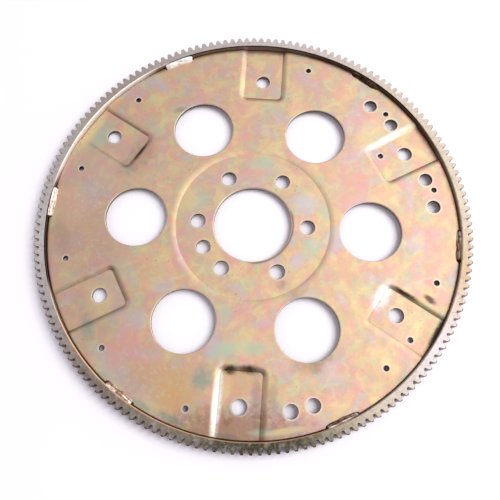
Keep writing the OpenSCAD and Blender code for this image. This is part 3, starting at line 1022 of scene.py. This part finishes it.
def studio(tree, s):
    """White for the camera, even light for the floor, and for the metal a room that is bright on one side."""
    view = add(tree, "ShaderNodeTexCoord", output="Generated")

    def towards(angle, rise=0):
        """Cosine of the angle between the view and a side of the room."""
        turn = angle - s.picture_turn
        way = (math.cos(turn) * math.cos(rise), math.sin(turn) * math.cos(rise), math.sin(rise))
        return add(tree, "ShaderNodeVectorMath", {"operation": "DOT_PRODUCT", 0: view, 1: way}, "Value")

    most = max(light for _, light in ROOM)
    side = add(tree, "ShaderNodeMapRange", {"Value": towards(s.bright_side), "From Min": -1, "From Max": 1})
    level = add(tree, "ShaderNodeValToRGB", {
        0: side, "stops": [((cosine + 1) / 2, (light / most,) * 3) for cosine, light in ROOM]})
    strength = most
    for angle, edge, share in (
            (s.dim_side, DIM_EDGE, s.dim_share), (s.far_side, FAR_EDGE, s.far_share),
            (s.near_side, NEAR_EDGE, s.near_share)):
        dimmed = add(tree, "ShaderNodeMapRange", {
            "interpolation_type": "SMOOTHSTEP", "Value": towards(angle),
            "From Min": edge[0], "From Max": edge[1], "To Min": 1, "To Max": share})
        strength = add(tree, "ShaderNodeMath", {"operation": "MULTIPLY", 0: dimmed, 1: strength})
    wall = add(tree, "ShaderNodeBackground", {"Color": level, "Strength": strength})
    pane = add(tree, "ShaderNodeMapRange", {
        "interpolation_type": "SMOOTHSTEP", "Value": towards(s.window_side, s.window_rise),
        "From Min": WINDOW_EDGE[0], "From Max": WINDOW_EDGE[1], "To Max": s.window_light})
    window = add(tree, "ShaderNodeBackground", {"Strength": pane})
    room = add(tree, "ShaderNodeAddShader", {0: wall, 1: window})
    even = add(tree, "ShaderNodeBackground", {"Color": (*s.ambient, 1), "Strength": s.ambient_power})
    white = add(tree, "ShaderNodeBackground", {"Color": (1, 1, 1, 1)})
    mirrored = add(tree, "ShaderNodeLightPath", output="Is Glossy Ray")
    lit = add(tree, "ShaderNodeMixShader", {0: mirrored, 1: even, 2: room})
    seen = add(tree, "ShaderNodeLightPath", output="Is Camera Ray")
    shown = add(tree, "ShaderNodeMixShader", {0: seen, 1: lit, 2: white})
    add(tree, "ShaderNodeOutputWorld", {"Surface": shown})


class FLEXPLATE_OT_plate(bpy.types.Operator):
    """Builds the stamped plate"""
    bl_idname = "flexplate.plate"
    bl_label = "Plate"

    def execute(self, context):
        scene = context.scene
        points, faces, marks = plate_mesh(scene.flexplate_plate)
        material = plated_steel("Zinc chromate sheet", scene.flexplate_finish)
        make_piece("stamped_plate", points, faces, material, ["plate"], marks)
        return {"FINISHED"}


class FLEXPLATE_OT_ring_gear(bpy.types.Operator):
    """Builds the starter ring gear"""
    bl_idname = "flexplate.ring_gear"
    bl_label = "Ring gear"

    def execute(self, context):
        scene = context.scene
        turn = scene.flexplate_stage.picture_turn
        points, faces, marks = ring_mesh(scene.flexplate_ring, turn)
        material = cut_zinc("Zinc on cut steel", scene.flexplate_finish, turn)
        make_piece("starter_ring", points, faces, material, ["ring_gear"], marks, sharp=12)
        return {"FINISHED"}


class FLEXPLATE_OT_weld_beads(bpy.types.Operator):
    """Builds the weld beads between plate and ring"""
    bl_idname = "flexplate.weld_beads"
    bl_label = "Weld beads"

    def execute(self, context):
        scene = context.scene
        material = weld_metal("Plated weld metal", scene.flexplate_finish)
        for number, node in enumerate(WELD_NODES):
            points, faces, marks = weld_mesh(
                scene.flexplate_welds, scene.flexplate_ring, scene.flexplate_plate.front_z,
                math.radians(WELD_FIRST + SECTOR * number), number + 1)
            make_piece(f"bead_{number + 1}", points, faces, material, [node],
                       {"scale": np.clip(WELD_SCALE[number] + np.array(marks), 0, 1)})
        return {"FINISHED"}


class FLEXPLATE_OT_stage(bpy.types.Operator):
    """Sets the floor, the lamps, the background and the camera"""
    bl_idname = "flexplate.stage"
    bl_label = "Stage"

    def execute(self, context):
        scene = context.scene
        s = scene.flexplate_stage
        turn = Matrix.Rotation(-s.picture_turn, 4, "Z")

        half = s.floor_size / 2
        corners = [(-half, -half, 0), (half, -half, 0), (half, half, 0), (-half, half, 0)]
        mesh = bpy.data.meshes.new("floor")
        mesh.from_pydata(corners, [], [(0, 1, 2, 3)])
        mesh.materials.append(paper_floor("White paper", s))
        floor = bpy.data.objects.new("floor", mesh)
        scene.collection.objects.link(floor)

        world = bpy.data.worlds.new("Studio")
        scene.world = world
        world.use_nodes = True
        tree = world.node_tree
        tree.nodes.clear()
        studio(tree, s)

        lamp = bpy.data.lights.new("soft_box", "AREA")
        lamp.shape = "RECTANGLE"
        lamp.size = lamp.size_y = s.key_size
        lamp.energy = s.key_power
        box = bpy.data.objects.new("soft_box", lamp)
        box.visible_glossy = False
        place = Vector(s.key_place)
        aim = (-place).to_track_quat("-Z", "Y").to_matrix().to_4x4()
        box.matrix_world = turn @ Matrix.Translation(place) @ aim
        scene.collection.objects.link(box)

        camera = bpy.data.cameras.new("camera")
        camera.sensor_width = SENSOR
        camera.lens = s.lens
        camera.clip_start = CLIP_START
        holder = bpy.data.objects.new("camera", camera)
        front = Matrix.Translation((0, 0, scene.flexplate_plate.front_z))
        pan = Matrix.Rotation(s.camera_pan, 4, "Y")
        tilt = Matrix.Rotation(s.camera_tilt, 4, "X")
        holder.matrix_world = turn @ front @ Matrix.Translation(s.camera_place) @ (pan @ tilt).inverted()
        scene.collection.objects.link(holder)
        scene.camera = holder
        scene.view_settings.view_transform = "Standard"
        return {"FINISHED"}


class FLEXPLATE_PT_sidebar(bpy.types.Panel):
    """Lists the pieces and their settings"""
    bl_idname = "FLEXPLATE_PT_sidebar"
    bl_label = "Flexplate"
    bl_space_type = "VIEW_3D"
    bl_region_type = "UI"
    bl_category = "Flexplate"

    def draw(self, context):
        for operator in OPERATORS:
            self.layout.operator(operator.bl_idname)
        for key in SETTINGS:
            group = getattr(context.scene, key)
            box = self.layout.box()
            box.label(text=group.__doc__)
            for prop in group.__annotations__:
                box.prop(group, prop)


SETTINGS = {
    "flexplate_plate": PlateSettings,
    "flexplate_ring": RingSettings,
    "flexplate_welds": WeldSettings,
    "flexplate_finish": FinishSettings,
    "flexplate_stage": StageSettings,
}
OPERATORS = (FLEXPLATE_OT_plate, FLEXPLATE_OT_ring_gear, FLEXPLATE_OT_weld_beads, FLEXPLATE_OT_stage)


def register():
    for group in (*SETTINGS.values(), *OPERATORS, FLEXPLATE_PT_sidebar):
        bpy.utils.register_class(group)
    for key, group in SETTINGS.items():
        setattr(bpy.types.Scene, key, PointerProperty(type=group))


def unregister():
    for key in SETTINGS:
        delattr(bpy.types.Scene, key)
    for group in reversed((*SETTINGS.values(), *OPERATORS, FLEXPLATE_PT_sidebar)):
        bpy.utils.unregister_class(group)


def main():
    register()
    bpy.ops.flexplate.plate()
    bpy.ops.flexplate.ring_gear()
    bpy.ops.flexplate.weld_beads()
    bpy.ops.flexplate.stage()


if __name__ == "__main__":
    main()
